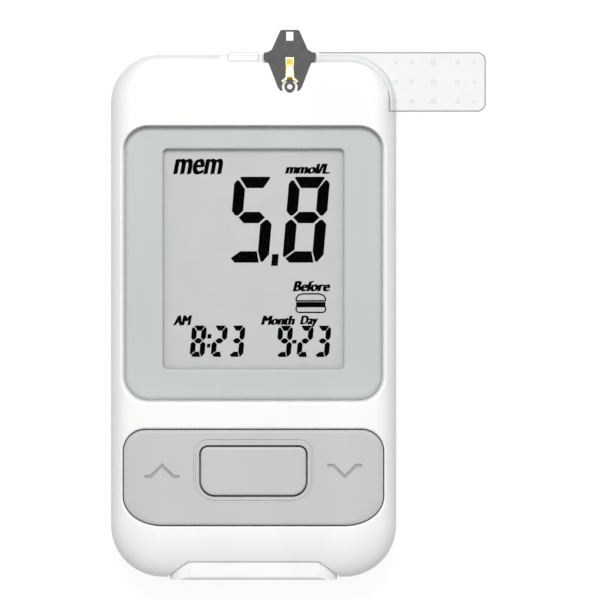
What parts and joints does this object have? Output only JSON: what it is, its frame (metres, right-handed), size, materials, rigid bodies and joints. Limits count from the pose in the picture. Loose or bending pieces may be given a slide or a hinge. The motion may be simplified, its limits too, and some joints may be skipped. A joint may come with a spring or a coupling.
{
  "type": "blood glucose meter",
  "caption": "Handheld blood glucose meter with a sunk display, rocker and centre keys, sliding battery door and a clear-tabbed test strip in its end.",
  "frame": {"origin": "on the rest face, the flat back of the rear shell, at the middle of the two shells", "axes": "+Z out of the display, +Y towards the strip end, +X to the side where the strip's clear tab stands out"},
  "size_m": [0.0682, 0.1, 0.016],
  "materials": {
    "white_shell": "fine satin white ABS",
    "grey_frame": "satin pale grey ABS",
    "grey_key": "satin pale grey ABS",
    "clear_window": "clear acrylic",
    "clear_carrier": "clear polyester",
    "foam": "closed-cell foam",
    "lcd": "grey reflective liquid crystal glass",
    "white_insert": "white moulded plastic",
    "soft_rubber": "striped silicone rubber",
    "board": "green solder mask",
    "chip": "moulded black epoxy",
    "steel": "plated steel",
    "cell": "nickel-plated can",
    "gold": "gold plating",
    "strip_grey": "printed dark grey film"
  },
  "bodies": {
    "case": {"front_shell": "white_shell", "rear_shell": "white_shell", "display_bezel": "grey_frame", "display_window": "clear_window", "display_gasket": "foam", "lcd_panel": "lcd", "lcd_diffuser": "white_insert", "lcd_holder": "white_insert", "zebra_strips": "soft_rubber", "main_board": "board", "microcontroller": "chip", "radio_module": "steel", "board_components": "chip", "piezo_buzzer": "chip", "key_switches": "chip", "switch_domes": "steel", "strip_connector": "chip", "strip_contacts": "gold", "coin_cell_upper": "cell", "coin_cell_lower": "cell", "cell_spring_contacts": "gold", "cell_rim_contacts": "gold", "case_screws": "steel", "board_screws": "steel"},
    "rocker_key": {"rocker_key": "grey_key", "side_switch_plungers": "grey_key"},
    "centre_key": {"centre_key": "grey_key", "centre_switch_plunger": "grey_key"},
    "battery_door": {"battery_door": "white_shell"},
    "test_strip": {"strip_carrier": "clear_carrier", "strip_plate": "strip_grey", "strip_gold_track": "gold"}
  },
  "joints": [
    {"name": "rocker_tilt", "type": "hinge", "parent": "case", "child": "rocker_key", "pos_m": [0, -0.02932, 0.0125], "axis": [0, 1, 0], "range_deg": [-1.2, 1.2], "stiffness_Nm_per_rad": 0.3},
    {"name": "centre_key_press", "type": "slide", "parent": "case", "child": "centre_key", "axis": [0, 0, -1], "range_m": [0, 0.0004], "stiffness_N_per_m": 600, "springref_m": -0.0002},
    {"name": "battery_door_slide", "type": "slide", "parent": "case", "child": "battery_door", "axis": [0, -1, 0], "range_m": [0, 0.047]},
    {"name": "strip_slide", "type": "slide", "parent": "case", "child": "test_strip", "axis": [0, 1, 0], "range_m": [0, 0.015]}
  ]
}
